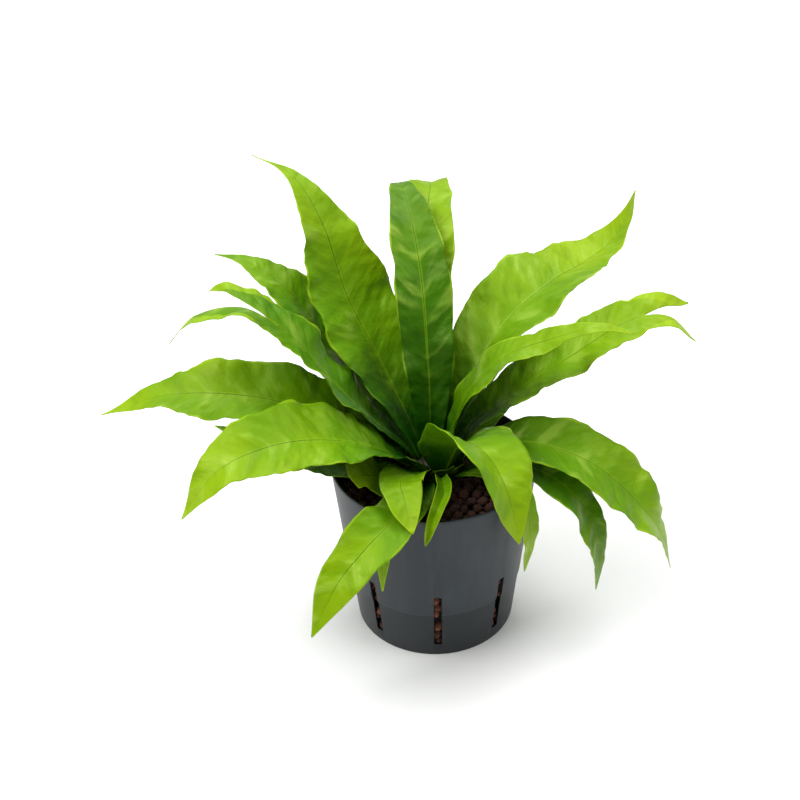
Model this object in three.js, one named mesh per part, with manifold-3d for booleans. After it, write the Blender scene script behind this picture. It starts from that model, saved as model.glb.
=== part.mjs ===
// Potted Japanese bird's nest fern: strap fronds round one crown, standing in a slotted
// hydroculture pot filled with expanded clay granules.
// Millimetres, +Z up. The origin is the centre of the pot's underside.
// Directions are headings in degrees: 0 is +X, 90 is +Y, and the front of the plant is -Y.

import * as THREE from 'three';
import { mergeVertices } from 'three/addons/utils/BufferGeometryUtils.js';
import Module from 'manifold-3d';

// Pot
const POT_HEIGHT = 120;
const POT_TOP_RADIUS = 65;
const POT_BASE_RADIUS = 51.8;
const POT_WALL = 1.4;
const POT_FLOOR = 3;
const POT_CHAMFER = 1;
const POT_SIDES = 48;
const RIM_ROUND = 0.4;
const BAND_HEIGHT = 37;
const BAND_STEP = 0.7;
const SLOT_COUNT = 8;
const SLOT_WIDTH = 5;
const SLOT_BOTTOM = 10;
const SLOT_TOP = 54;
const SLOT_CUT = 20;
const POT_COLOUR = 0x3f4952;
const POT_ROUGHNESS = 0.45;

// Clay granules
const CLEARANCE = 0.3;
const CLAY_LEVEL = 107;
const CLAY_CHAMFER = 1.5;
const GRANULE_PITCH = 7.4;
const GRANULE_RISE = 1.9;
const GRANULE_LEAST_RISE = 0.4;
const GRANULE_JITTER = 0.9;
const GRANULE_SEED = 11;
const FIELD_MARGIN = 2;
const CLAY_COLOUR = 0x6b3a26;
const CLAY_ROUGHNESS = 0.95;

// Crown: the dome's profile is [radius, height] from its foot to its top
const CROWN_RADIUS = 18.5;
const CROWN_FOOT = 96;
const CROWN_PROFILE = [
  [0, CROWN_FOOT], [16.5, CROWN_FOOT], [CROWN_RADIUS, 99], [CROWN_RADIUS, 108], [17.4, 111],
  [15.5, 113], [11, 117], [6, 121], [0, 122.5],
];
const CROWN_SIDES = 20;
const SEAT_RADIUS = 3.6;
const SEAT_REACH = 12;
const SEAT_SIDES = 8;
const CROWN_COLOUR = 0x2c2414;
const CROWN_ROUGHNESS = 0.9;

// Fronds
const BLADE_THICKNESS = 0.7;
const STALK_HALF_WIDTH = 2.2;
const TIP_HALF_WIDTH = 0.8;
const MIDRIB_DEPTH = 1.9;
const RIDGE_FADE = 1.5;
const WAVE_LIMIT = 1.2;
const WAVE_POWER = 1.5;
const WAVE_SHIFT = 2.1;
const LOBE_TAPER = 0.9;
const LOBE_CURVE = 1.4;
const ROW_LENGTH = 11;
const LEAST_ROWS = 8;
const LEAST_LOBE_ROWS = 3;
const COLUMNS = [-1, -0.5, 0, 0.5, 1];
const FROND_COLOURS = [0x5d8a12, 0x7ba61a, 0x93b82c];
const FROND_ROUGHNESS = 0.4;

// Small common values
const WELD_DISTANCE = 1e-4;
const RANDOM_FACTOR = 16807;
const RANDOM_RANGE = 2147483647;

// Each frond leaves the crown on a heading. Its route gives the midrib's points as
// [reach along the heading, height above the table, drift to the left of the heading].
// width is the blade's greatest width, and widest says how far along the midrib it lies.
// spring is how slowly the blade widens from its stalk, and taper how fast it thins to the tip.
// tilt and fold are degrees at the root, halfway and at the tip: tilt lifts the left margin,
// and fold lifts both margins into a trough. ruffle is the margin's wave: height, number of
// waves and phase in degrees. A fork splits the blade at a fraction of its length into a
// left and a right lobe, each with its own end and sideways spread.
const FRONDS = [
  {
    name: 'frond_tall_left', tone: 1, heading: 134,
    route: [
      [8, 119, 3], [22, 141, 2], [48, 173, 0], [76, 210, 0], [93, 250, 0], [118, 275, 0],
      [157, 277, 0],
    ],
    width: 61, widest: 0.42, spring: 0.9, taper: 2.5,
    tilt: [12, -6, 15], fold: [30, 14, 4], ruffle: [1.8, 4, 20],
  },
  {
    name: 'frond_back_left', tone: 0, heading: 152,
    route: [
      [13, 115, 0], [30, 132, 0], [48, 153, 0], [66, 179, 0], [98, 215, 0], [126, 230, 0],
      [151, 230, 0],
    ],
    width: 42, widest: 0.55, spring: 1.3, taper: 1.5,
    tilt: [6, 0, 5], fold: [30, 12, 6], ruffle: [1.6, 4, 60],
  },
  {
    name: 'frond_forked_left', tone: 0, heading: 178,
    route: [
      [10, 118, 0], [24, 134, 1], [42, 153, 1], [62, 179, 1], [86, 212, 0], [112, 231, 0],
      [138, 228, 0], [156, 207, 0],
    ],
    width: 38, widest: 0.5, spring: 1.3, taper: 1.1,
    tilt: [6, -2, 5], fold: [30, 14, 6], ruffle: [1.5, 4, 40],
    fork: { at: 0.62, ends: [1, 0.84], spread: [2, 8] },
  },
  {
    name: 'frond_wide_left', tone: 1, heading: 182,
    route: [[15, 112, 0], [36, 130, 0], [66, 155, 0], [111, 172, 0], [160, 176, 0], [202, 164, 0]],
    width: 54, widest: 0.5, spring: 1.1, taper: 1.4,
    tilt: [6, -16, 5], fold: [30, 14, 8], ruffle: [2.2, 4, 250],
  },
  {
    name: 'frond_front_left', tone: 1, heading: 211,
    route: [[13, 115, 0], [34, 136, 0], [60, 155, 0], [104, 172, 0], [145, 170, 0], [171, 146, 0]],
    width: 52, widest: 0.5, spring: 1.2, taper: 1.1,
    tilt: [14, -19, 5], fold: [30, 16, 8], ruffle: [1.4, 4, 0],
  },
  {
    name: 'frond_under_left', tone: 0, heading: 193,
    route: [[17, 112, 3], [35, 117, 2], [62, 125, 0], [100, 145, 0], [134, 170, 0]],
    width: 34, widest: 0.55, spring: 1, taper: 1.1,
    tilt: [0, -5, 0], fold: [30, 14, 6], ruffle: [1.4, 3, 90],
  },
  {
    name: 'frond_crested_left', tone: 1, heading: 216,
    route: [[16, 112, 2], [32, 121, 1], [48, 128, 0], [64, 135, -1]],
    width: 27, widest: 0.75, spring: 1.2, taper: 0.5,
    tilt: [0, -20, -25], fold: [30, 14, 0], ruffle: [1.6, 2, 0],
    scallop: [0.42, 3],
  },
  {
    name: 'frond_low_front', tone: 1, heading: 244,
    route: [
      [15.5, 112, 2], [36, 122, 5], [66, 125, 8], [93, 120, 1], [116, 105, -9],
      [135, 76, -18],
    ],
    width: 34, widest: 0.5, spring: 0.8, taper: 1.1,
    tilt: [0, -8, -10], fold: [25, 14, 8], ruffle: [1.3, 4, 120],
  },
  {
    name: 'frond_low_tip', tone: 0, heading: 247,
    route: [[16.5, 111, -3], [40, 115, -4], [67, 123, -1], [80, 111, -1], [86, 80, 0]],
    width: 13, widest: 0.5, spring: 1, taper: 1.1,
    tilt: [0, 0, 0], fold: [20, 4, 4], ruffle: [0.4, 3, 0],
  },
  {
    name: 'frond_front_small', tone: 0, heading: 258,
    route: [[12, 115, -2], [28, 125, -6], [44, 132, -12], [64, 135, -6], [85, 127, 3]],
    width: 28, widest: 0.5, spring: 0.9, taper: 1,
    tilt: [0, 0, 0], fold: [30, 18, 8], ruffle: [1, 3, 60],
  },
  {
    name: 'frond_front_curl', tone: 1, heading: 272,
    route: [
      [15.5, 112, 3], [33, 125, 3], [50, 129, 3], [62, 126, -2], [70, 119, -7],
      [74, 110, -10],
    ],
    width: 14, widest: 0.55, spring: 1, taper: 0.9,
    tilt: [0, 0, 0], fold: [45, 50, 40], ruffle: [0.8, 4, 0],
  },
  {
    name: 'frond_front_right', tone: 1, heading: 300,
    route: [
      [13.5, 114, 0], [20, 129, 0], [29, 145, 0], [43, 156, 0], [62, 157, 0], [80, 146, 0],
      [95, 116, 0],
    ],
    width: 54, widest: 0.42, spring: 0.7, taper: 1.1,
    tilt: [0, -20, 0], fold: [30, 22, 10], ruffle: [1.5, 3, 30],
  },
  {
    name: 'frond_slim_right', tone: 2, heading: 314,
    route: [[16, 111, 0], [34, 124, -1], [58, 132, -1], [74, 126, 0], [80, 106, 0], [77, 72, 0]],
    width: 16, widest: 0.55, spring: 1, taper: 1.1,
    tilt: [0, 0, 0], fold: [30, 16, 8], ruffle: [0.8, 4, 0],
  },
  {
    name: 'frond_low_right', tone: 0, heading: 335,
    route: [
      [16, 112, 0], [36, 122, 0], [62, 129, 0], [84, 122, 1], [101, 104, 1], [110, 73, 0],
      [110, 48, 0],
    ],
    width: 28, widest: 0.5, spring: 1, taper: 1.1,
    tilt: [0, 10, 10], fold: [30, 14, 8], ruffle: [1.2, 4, 0],
  },
  {
    name: 'frond_big_right', tone: 1, heading: 345,
    route: [
      [13, 115, 0], [34, 131, 0], [60, 140, 0], [96, 132, 0], [124, 110, 0], [143, 85, 0],
      [152, 58, 0],
    ],
    width: 46, widest: 0.6, spring: 1.0, taper: 1.1,
    tilt: [0, 16, -15], fold: [30, 16, 8], ruffle: [1.8, 3, 300],
  },
  {
    name: 'frond_arch_right', tone: 2, heading: 350,
    route: [
      [6, 121, 0], [13, 142, 0], [24, 173, 0], [43, 197, 0], [72, 213, 0], [100, 223, 0],
      [119, 220, 0],
    ],
    width: 26, widest: 0.4, spring: 0.42, taper: 1.1,
    tilt: [8, 12, 0], fold: [25, 10, 8], ruffle: [1, 4, 0],
  },
  {
    name: 'frond_forked_right', tone: 2, heading: 12,
    route: [
      [11, 117, 0], [26, 139, 0], [48, 156, 0], [90, 183, -2], [120, 200, -2], [146, 204, -1],
      [164, 192, 0],
    ],
    width: 42, widest: 0.55, spring: 0.8, taper: 1.1,
    tilt: [0, 5, 20], fold: [30, 16, 8], ruffle: [1.3, 4, 310],
    fork: { at: 0.8, ends: [1, 1], spread: [8, 8] },
  },
  {
    name: 'frond_young_right', tone: 0, heading: 30,
    route: [[15.5, 112, 0], [30, 122, 0], [46, 132, 0], [58, 138, 0]],
    width: 14, widest: 0.5, spring: 1, taper: 1.1,
    tilt: [0, 0, 0], fold: [30, 20, 10], ruffle: [0.6, 3, 0],
  },
  {
    name: 'frond_back_right', tone: 2, heading: 44,
    route: [
      [9, 119, -2], [17, 146, -3], [34, 168, -2], [74, 192, 0], [112, 200, 0], [146, 201, 0],
      [167, 207, -2], [180, 221, -4], [187, 238, -4],
    ],
    width: 62, widest: 0.5, spring: 1.6, taper: 1.2,
    tilt: [-8, 2, -28], fold: [25, 24, 6], ruffle: [1.8, 4, 290],
  },
  {
    name: 'frond_centre_light', tone: 2, heading: 88,
    route: [
      [8, 120, 1], [16, 150, 1], [25, 176, 2], [36, 198, 4], [54, 218, 4], [84, 240, 3],
      [118, 248, 1], [144, 238, 0], [160, 216, 0],
    ],
    width: 36, widest: 0.5, spring: 1.9, taper: 1,
    tilt: [0, 0, 0], fold: [20, 14, 10], ruffle: [1.4, 5, 0],
  },
  {
    name: 'frond_centre_dark', tone: 0, heading: 99,
    route: [
      [4, 121, 2], [13, 160, 0], [28, 202, -1], [48, 229, -2], [78, 248, -2], [112, 254, -2],
      [140, 240, -2],
    ],
    width: 36, widest: 0.45, spring: 0.7, taper: 1.2,
    tilt: [0, 0, 0], fold: [30, 14, 8], ruffle: [1.2, 4, 0],
  },
  {
    name: 'frond_rear_right', tone: 0, heading: 66,
    route: [[15.5, 112, 0], [34, 133, 0], [58, 142, 0], [84, 134, 0], [102, 112, 0]],
    width: 34, widest: 0.5, spring: 0.9, taper: 1.1,
    tilt: [0, 0, 0], fold: [30, 16, 8], ruffle: [1.4, 4, 0],
  },
  {
    name: 'frond_rear', tone: 1, heading: 97,
    route: [[15.5, 112, 0], [34, 120, 0], [62, 128, 0], [98, 120, 0], [120, 94, 0], [126, 66, 0]],
    width: 38, widest: 0.5, spring: 0.9, taper: 1.1,
    tilt: [0, 0, 0], fold: [30, 16, 8], ruffle: [1.5, 4, 180],
  },
  {
    name: 'frond_rear_left', tone: 0, heading: 123,
    route: [[15.5, 112, 0], [34, 127, 0], [60, 137, 0], [90, 131, 0], [112, 110, 0]],
    width: 36, widest: 0.5, spring: 0.9, taper: 1.1,
    tilt: [0, 0, 0], fold: [30, 16, 8], ruffle: [1.6, 4, 90],
  },
  {
    name: 'frond_side_left', tone: 0, heading: 156,
    route: [[16, 112, 0], [36, 123, 0], [60, 130, 0], [88, 125, 0], [106, 106, 0]],
    width: 28, widest: 0.5, spring: 1.2, taper: 1.1,
    tilt: [0, 0, 0], fold: [30, 16, 8], ruffle: [1.4, 3, 0],
  },
];
const radians = THREE.MathUtils.degToRad;
const clamp = THREE.MathUtils.clamp;
const wasm = await Module();
wasm.setup();

function makeRandom(seed) {
  let state = seed;
  return () => {
    state = (state * RANDOM_FACTOR) % RANDOM_RANGE;
    return state / RANDOM_RANGE;
  };
}

function toSolid(geometry) {
  const bare = geometry.clone();
  bare.deleteAttribute('normal');
  bare.deleteAttribute('uv');
  const merged = mergeVertices(bare, WELD_DISTANCE);
  const vertProperties = new Float32Array(merged.attributes.position.array);
  const triVerts = new Uint32Array(merged.index.array);
  return new wasm.Manifold(new wasm.Mesh({ numProp: 3, vertProperties, triVerts }));
}

function toGeometry(solid) {
  const mesh = solid.getMesh();
  const geometry = new THREE.BufferGeometry();
  geometry.setAttribute('position', new THREE.BufferAttribute(new Float32Array(mesh.vertProperties), 3));
  geometry.setIndex(new THREE.BufferAttribute(new Uint32Array(mesh.triVerts), 1));
  return geometry;
}

// A turned solid about the Z axis from a profile of [radius, height] points.
function turned(profile, sides) {
  const points = profile.map(([radius, height]) => new THREE.Vector2(radius, height));
  const geometry = new THREE.LatheGeometry(points, sides);
  geometry.rotateX(Math.PI / 2);
  return toSolid(geometry);
}

function potRadius(height) {
  return POT_BASE_RADIUS + ((POT_TOP_RADIUS - POT_BASE_RADIUS) * height) / POT_HEIGHT;
}

// The pot: a thin tapered wall with a rounded rim, a stepped-in band at the foot and
// upright water slots all round.
function makePot() {
  const inner = (height) => potRadius(height) - POT_WALL;
  const profile = [
    [0, 0],
    [POT_BASE_RADIUS - BAND_STEP - POT_CHAMFER, 0],
    [POT_BASE_RADIUS - BAND_STEP, POT_CHAMFER],
    [potRadius(BAND_HEIGHT) - BAND_STEP, BAND_HEIGHT],
    [potRadius(BAND_HEIGHT + BAND_STEP), BAND_HEIGHT + BAND_STEP],
    [POT_TOP_RADIUS, POT_HEIGHT - RIM_ROUND],
    [POT_TOP_RADIUS - RIM_ROUND, POT_HEIGHT],
    [POT_TOP_RADIUS - POT_WALL + RIM_ROUND, POT_HEIGHT],
    [POT_TOP_RADIUS - POT_WALL, POT_HEIGHT - RIM_ROUND],
    [inner(POT_FLOOR + POT_CHAMFER), POT_FLOOR + POT_CHAMFER],
    [inner(POT_FLOOR) - POT_CHAMFER, POT_FLOOR],
    [0, POT_FLOOR],
  ];
  let pot = turned(profile, POT_SIDES);
  for (let k = 0; k < SLOT_COUNT; k += 1) {
    const slot = new THREE.BoxGeometry(SLOT_CUT, SLOT_WIDTH, SLOT_TOP - SLOT_BOTTOM);
    slot.translate(POT_BASE_RADIUS, 0, (SLOT_TOP + SLOT_BOTTOM) / 2);
    slot.rotateZ((k * 2 * Math.PI) / SLOT_COUNT);
    pot = pot.subtract(toSolid(slot));
  }
  return toGeometry(pot);
}

// Directed edges of a triangle list that no second triangle shares: the sheet's open border.
function openEdges(triangles) {
  const edges = new Map();
  for (const [a, b, c] of triangles) {
    for (const [from, to] of [[a, b], [b, c], [c, a]]) {
      if (!edges.delete(`${to},${from}`)) {
        edges.set(`${from},${to}`, [from, to]);
      }
    }
  }
  return [...edges.values()];
}

function indexedGeometry(vertices, triangles) {
  const geometry = new THREE.BufferGeometry();
  geometry.setAttribute('position', new THREE.Float32BufferAttribute(vertices.flat(), 3));
  geometry.setIndex(triangles.flat());
  return geometry;
}

// A block whose top is a field of granules: a triangular lattice of knobs with a hollow
// between every three of them.
function makeGranuleBlock() {
  const random = makeRandom(GRANULE_SEED);
  const rowStep = (GRANULE_PITCH * Math.sqrt(3)) / 2;
  const columns = Math.ceil(POT_TOP_RADIUS / GRANULE_PITCH) + FIELD_MARGIN;
  const rows = Math.ceil(POT_TOP_RADIUS / rowStep) + FIELD_MARGIN;
  const jitter = () => (random() - 0.5) * GRANULE_JITTER;
  const vertices = [];
  const triangles = [];
  const knobs = new Map();
  for (let row = -rows; row <= rows; row += 1) {
    for (let column = -columns; column <= columns; column += 1) {
      const shift = row & 1 ? 0.5 : 0;
      const rise = GRANULE_RISE * (GRANULE_LEAST_RISE + (1 - GRANULE_LEAST_RISE) * random());
      knobs.set(`${row},${column}`, vertices.length);
      const x = (column + shift) * GRANULE_PITCH + jitter();
      vertices.push([x, row * rowStep + jitter(), CLAY_LEVEL + rise]);
    }
  }
  const addHollow = (a, b, c) => {
    const middle = (axis) => (vertices[a][axis] + vertices[b][axis] + vertices[c][axis]) / 3;
    const hollow = vertices.length;
    vertices.push([middle(0), middle(1), CLAY_LEVEL - GRANULE_RISE]);
    triangles.push([a, b, hollow], [b, c, hollow], [c, a, hollow]);
  };
  for (let row = -rows; row < rows; row += 1) {
    const shift = row & 1 ? 1 : 0;
    for (let column = -columns; column < columns; column += 1) {
      const near = knobs.get(`${row},${column}`);
      const nearNext = knobs.get(`${row},${column + 1}`);
      const far = knobs.get(`${row + 1},${column + shift}`);
      const farNext = knobs.get(`${row + 1},${column + shift + 1}`);
      addHollow(near, nearNext, far);
      if (farNext !== undefined) {
        addHollow(nearNext, farNext, far);
      }
    }
  }
  const border = openEdges(triangles);
  const foot = new Map();
  for (const [from] of border) {
    foot.set(from, vertices.length);
    vertices.push([vertices[from][0], vertices[from][1], 0]);
  }
  const centre = vertices.length;
  vertices.push([0, 0, 0]);
  for (const [from, to] of border) {
    triangles.push([to, from, foot.get(from)], [to, foot.get(from), foot.get(to)]);
    triangles.push([foot.get(to), foot.get(from), centre]);
  }
  return toSolid(indexedGeometry(vertices, triangles));
}

// The clay fill: the granule field cut to the inside of the pot, with a plain hole for
// the crown.
function makeClay() {
  const fillRadius = (height) => potRadius(height) - POT_WALL - CLEARANCE;
  const top = CLAY_LEVEL + 2 * GRANULE_RISE;
  const bottom = POT_FLOOR + CLEARANCE;
  const plug = turned(
    [[0, bottom], [fillRadius(bottom) - CLAY_CHAMFER, bottom],
      [fillRadius(bottom + CLAY_CHAMFER), bottom + CLAY_CHAMFER], [fillRadius(top), top], [0, top]],
    POT_SIDES,
  );
  const hole = turned(
    [[0, CROWN_FOOT - CLEARANCE], [CROWN_RADIUS + CLEARANCE, CROWN_FOOT - CLEARANCE],
      [CROWN_RADIUS + CLEARANCE, top + GRANULE_RISE], [0, top + GRANULE_RISE]],
    CROWN_SIDES,
  );
  return toGeometry(plug.intersect(makeGranuleBlock()).subtract(hole));
}

// Directions of a frond's own frame: outward along its heading, and to the left of it.
function headingAxes(frond) {
  const angle = radians(frond.heading);
  return {
    outward: new THREE.Vector3(Math.cos(angle), Math.sin(angle), 0),
    left: new THREE.Vector3(-Math.sin(angle), Math.cos(angle), 0),
  };
}

function makeMidrib(frond) {
  const { outward, left } = headingAxes(frond);
  const points = frond.route.map(([reach, height, drift]) => new THREE.Vector3(0, 0, height)
    .addScaledVector(outward, reach)
    .addScaledVector(left, drift));
  return new THREE.CatmullRomCurve3(points, false, 'centripetal');
}

// A value given at the root, halfway and at the tip, as a smooth curve along the frond.
function along([root, middle, tip], s) {
  return root * (1 - s) * (1 - 2 * s) + 4 * middle * s * (1 - s) + tip * s * (2 * s - 1);
}

function halfWidth(frond, s) {
  const full = frond.width / 2;
  let half;
  if (s < frond.widest) {
    half = STALK_HALF_WIDTH + (full - STALK_HALF_WIDTH) * (1 - (1 - s / frond.widest) ** 2) ** frond.spring;
  } else {
    const u = (s - frond.widest) / (1 - frond.widest);
    half = TIP_HALF_WIDTH + (full - TIP_HALF_WIDTH) * (1 - u ** 2) ** frond.taper;
  }
  if (frond.scallop) {
    const [depth, count] = frond.scallop;
    half *= 1 + depth * s * Math.cos(2 * Math.PI * count * s);
  }
  return half;
}

// The frond's upper surface at s along the midrib and a sideways distance from it.
function surfacePoint(frond, midrib, s, sideways) {
  const { left } = headingAxes(frond);
  const tangent = midrib.getTangentAt(s);
  const side = left.clone().addScaledVector(tangent, -left.dot(tangent)).normalize();
  const up = tangent.clone().cross(side);
  const tilt = radians(along(frond.tilt, s));
  const tiltedSide = side.clone().multiplyScalar(Math.cos(tilt)).addScaledVector(up, Math.sin(tilt));
  const tiltedUp = up.clone().multiplyScalar(Math.cos(tilt)).addScaledVector(side, -Math.sin(tilt));
  const fold = radians(along(frond.fold, s));
  const span = Math.abs(sideways);
  const outerness = clamp((2 * span) / frond.width, 0, WAVE_LIMIT);
  const [waveHeight, waveCount, phase] = frond.ruffle;
  const turn = 2 * Math.PI * waveCount * s + radians(phase) + (sideways > 0 ? WAVE_SHIFT : 0);
  const lift = span * Math.sin(fold) + waveHeight * outerness ** WAVE_POWER * Math.sin(turn);
  return midrib.getPointAt(s)
    .addScaledVector(tiltedSide, sideways * Math.cos(fold))
    .addScaledVector(tiltedUp, lift);
}

// Rows and columns of a frond's upper surface. Past a fork the middle column is doubled,
// so that each lobe closes round its own tip.
function makeSheet(frond) {
  const midrib = makeMidrib(frond);
  const rows = Math.max(LEAST_ROWS, Math.round(midrib.getLength() / ROW_LENGTH));
  const forkRow = frond.fork ? Math.round(rows * frond.fork.at) : rows;
  const points = [];
  const ribs = [];
  const faces = [];
  const addPoint = (s, sideways, rib) => {
    points.push(surfacePoint(frond, midrib, s, sideways));
    ribs.push(rib * (1 - s) ** RIDGE_FADE);
    return points.length - 1;
  };
  const addStrip = (lower, upper) => {
    for (let j = 0; j + 1 < lower.length; j += 1) {
      faces.push([lower[j], upper[j + 1], lower[j + 1]]);
      faces.push([lower[j], upper[j], upper[j + 1]]);
    }
  };
  let last = [];
  for (let i = 0; i <= forkRow; i += 1) {
    const s = i / rows;
    const half = halfWidth(frond, s);
    const row = COLUMNS.map((t) => addPoint(s, t * half, (1 - Math.abs(t)) ** 2));
    if (i > 0) {
      addStrip(last, row);
    }
    last = row;
  }
  if (frond.fork) {
    const { at, ends, spread } = frond.fork;
    const start = forkRow / rows;
    const half = halfWidth(frond, start);
    const middle = (COLUMNS.length - 1) / 2;
    for (const [lobe, sign] of [[0, 1], [1, -1]]) {
      let previous = sign > 0 ? last.slice(middle) : last.slice(0, middle + 1);
      const lobeRows = Math.max(LEAST_LOBE_ROWS, Math.round(rows * (ends[lobe] - at)));
      for (let i = 1; i <= lobeRows; i += 1) {
        const u = i / lobeRows;
        const s = start + (ends[lobe] - start) * u;
        const lobeHalf = Math.max(TIP_HALF_WIDTH, (half / 2) * (1 - u ** 2) ** LOBE_TAPER);
        const lobeCentre = half / 2 + spread[lobe] * u ** LOBE_CURVE;
        const offsets = [lobeCentre - lobeHalf, lobeCentre, lobeCentre + lobeHalf];
        const row = sign > 0
          ? offsets.map((offset) => addPoint(s, offset, 0))
          : offsets.reverse().map((offset) => addPoint(s, -offset, 0));
        addStrip(previous, row);
        previous = row;
      }
    }
  }
  return { points, ribs, faces };
}

// Thickens a sheet downward into one closed blade, with the midrib's ridge underneath.
function makeFrond(frond) {
  const { points, ribs, faces } = makeSheet(frond);
  const normals = points.map(() => new THREE.Vector3());
  for (const [a, b, c] of faces) {
    const ab = points[b].clone().sub(points[a]);
    const ac = points[c].clone().sub(points[a]);
    const normal = ab.cross(ac).normalize();
    for (const index of [a, b, c]) {
      normals[index].add(normal);
    }
  }
  const vertices = points.map((point) => point.toArray());
  points.forEach((point, index) => {
    const depth = BLADE_THICKNESS + MIDRIB_DEPTH * ribs[index];
    vertices.push(point.clone().addScaledVector(normals[index].normalize(), -depth).toArray());
  });
  const count = points.length;
  const triangles = [];
  for (const [a, b, c] of faces) {
    triangles.push([a, b, c], [count + a, count + c, count + b]);
  }
  for (const [from, to] of openEdges(faces)) {
    triangles.push([to, from, count + from], [to, count + from, count + to]);
  }
  return indexedGeometry(vertices, triangles);
}

// The crown: a short knobbly dome with a shallow seat under the root of every frond.
function makeCrown() {
  let crown = turned(CROWN_PROFILE, CROWN_SIDES);
  for (const frond of FRONDS) {
    const midrib = makeMidrib(frond);
    const root = midrib.getPointAt(0);
    const direction = midrib.getTangentAt(0);
    const seat = new THREE.CylinderGeometry(SEAT_RADIUS, SEAT_RADIUS, SEAT_REACH, SEAT_SIDES);
    seat.translate(0, SEAT_REACH / 2 - CLEARANCE, 0);
    seat.applyQuaternion(new THREE.Quaternion().setFromUnitVectors(new THREE.Vector3(0, 1, 0), direction));
    seat.translate(root.x, root.y, root.z);
    crown = crown.subtract(toSolid(seat));
  }
  return toGeometry(crown);
}

function addPiece(parent, name, geometry, colour, roughness) {
  const material = new THREE.MeshStandardMaterial({ color: colour, roughness, metalness: 0 });
  const mesh = new THREE.Mesh(geometry, material);
  mesh.name = name;
  parent.add(mesh);
}

const fern = new THREE.Group();
addPiece(fern, 'pot', makePot(), POT_COLOUR, POT_ROUGHNESS);
addPiece(fern, 'clay_granules', makeClay(), CLAY_COLOUR, CLAY_ROUGHNESS);
addPiece(fern, 'crown', makeCrown(), CROWN_COLOUR, CROWN_ROUGHNESS);
for (const frond of FRONDS) {
  addPiece(fern, frond.name, makeFrond(frond), FROND_COLOURS[frond.tone], FROND_ROUGHNESS);
}

export default fern;
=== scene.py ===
import math
import random

import bmesh
import bpy
import numpy as np
from mathutils import Euler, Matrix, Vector


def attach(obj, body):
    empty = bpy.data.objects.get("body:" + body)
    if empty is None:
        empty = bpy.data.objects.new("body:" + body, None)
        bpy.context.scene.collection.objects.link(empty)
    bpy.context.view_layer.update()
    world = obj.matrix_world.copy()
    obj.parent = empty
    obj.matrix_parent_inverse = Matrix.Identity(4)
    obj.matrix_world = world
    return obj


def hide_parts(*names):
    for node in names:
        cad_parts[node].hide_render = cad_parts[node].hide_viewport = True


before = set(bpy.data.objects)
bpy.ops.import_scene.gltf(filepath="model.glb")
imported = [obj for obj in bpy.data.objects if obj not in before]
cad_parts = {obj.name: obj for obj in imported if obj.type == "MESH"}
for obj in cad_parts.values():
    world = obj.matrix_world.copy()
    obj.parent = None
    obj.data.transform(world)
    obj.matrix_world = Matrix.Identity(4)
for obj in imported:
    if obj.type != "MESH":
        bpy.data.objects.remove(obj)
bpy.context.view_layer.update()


# The culture pot.
# A thin tapered cup of satin blue-grey plastic, injection moulded in one piece. It has a
# fine round lip, a foot band that steps in a little, and upright water slots cut through
# the wall, so that water can reach the clay from the planter outside.
MM = 0.001
POT_HEIGHT = 120
POT_TOP_RADIUS = 65
POT_BASE_RADIUS = 51.8
POT_WALL = 1.4
POT_FLOOR = 3
POT_SIDES = 192
LIP_ROUND = 0.55
LIP_DEPTH = 3
FOOT_ROUND = 1
FLOOR_ROUND = 1
SLOT_ROUND = 0.9
BAND_EDGE = 0.4
BAND_BLEND = 1.1
SMOOTH_ANGLE = math.radians(35)
BAND_HEIGHT = 37
BAND_STEP = 0.7
SLOT_COUNT = 8
SLOT_WIDTH = 5
SLOT_BOTTOM = 10
SLOT_TOP = 54
SLOT_CUT = 20
POT_GREY = (0.015, 0.021, 0.026, 1)
# Pale dust, also used for the painted highlight along the band's step.
POT_DUST_AND_HIGHLIGHT = (0.038, 0.048, 0.056, 1)
POT_FOOT_GREY = (0.008, 0.012, 0.015, 1)


def clear_selection():
    bpy.ops.object.select_all(action="DESELECT")


def pot_radius(height):
    return POT_BASE_RADIUS + (POT_TOP_RADIUS - POT_BASE_RADIUS) * height / POT_HEIGHT


class Wire:
    """An output socket of a finish. Sums, products and powers of wires add Math nodes."""

    def __init__(self, finish, socket):
        self.finish = finish
        self.socket = socket

    def reckon(self, operation, first, second):
        return self.finish.node(
            "ShaderNodeMath", {"operation": operation}, {0: first, 1: second}
        )

    def __add__(self, other):
        return self.reckon("ADD", self, other)

    __radd__ = __add__

    def __sub__(self, other):
        return self.reckon("SUBTRACT", self, other)

    def __rsub__(self, other):
        return self.reckon("SUBTRACT", other, self)

    def __mul__(self, other):
        return self.reckon("MULTIPLY", self, other)

    __rmul__ = __mul__

    def __abs__(self):
        return self.reckon("ABSOLUTE", self, 0)


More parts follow.
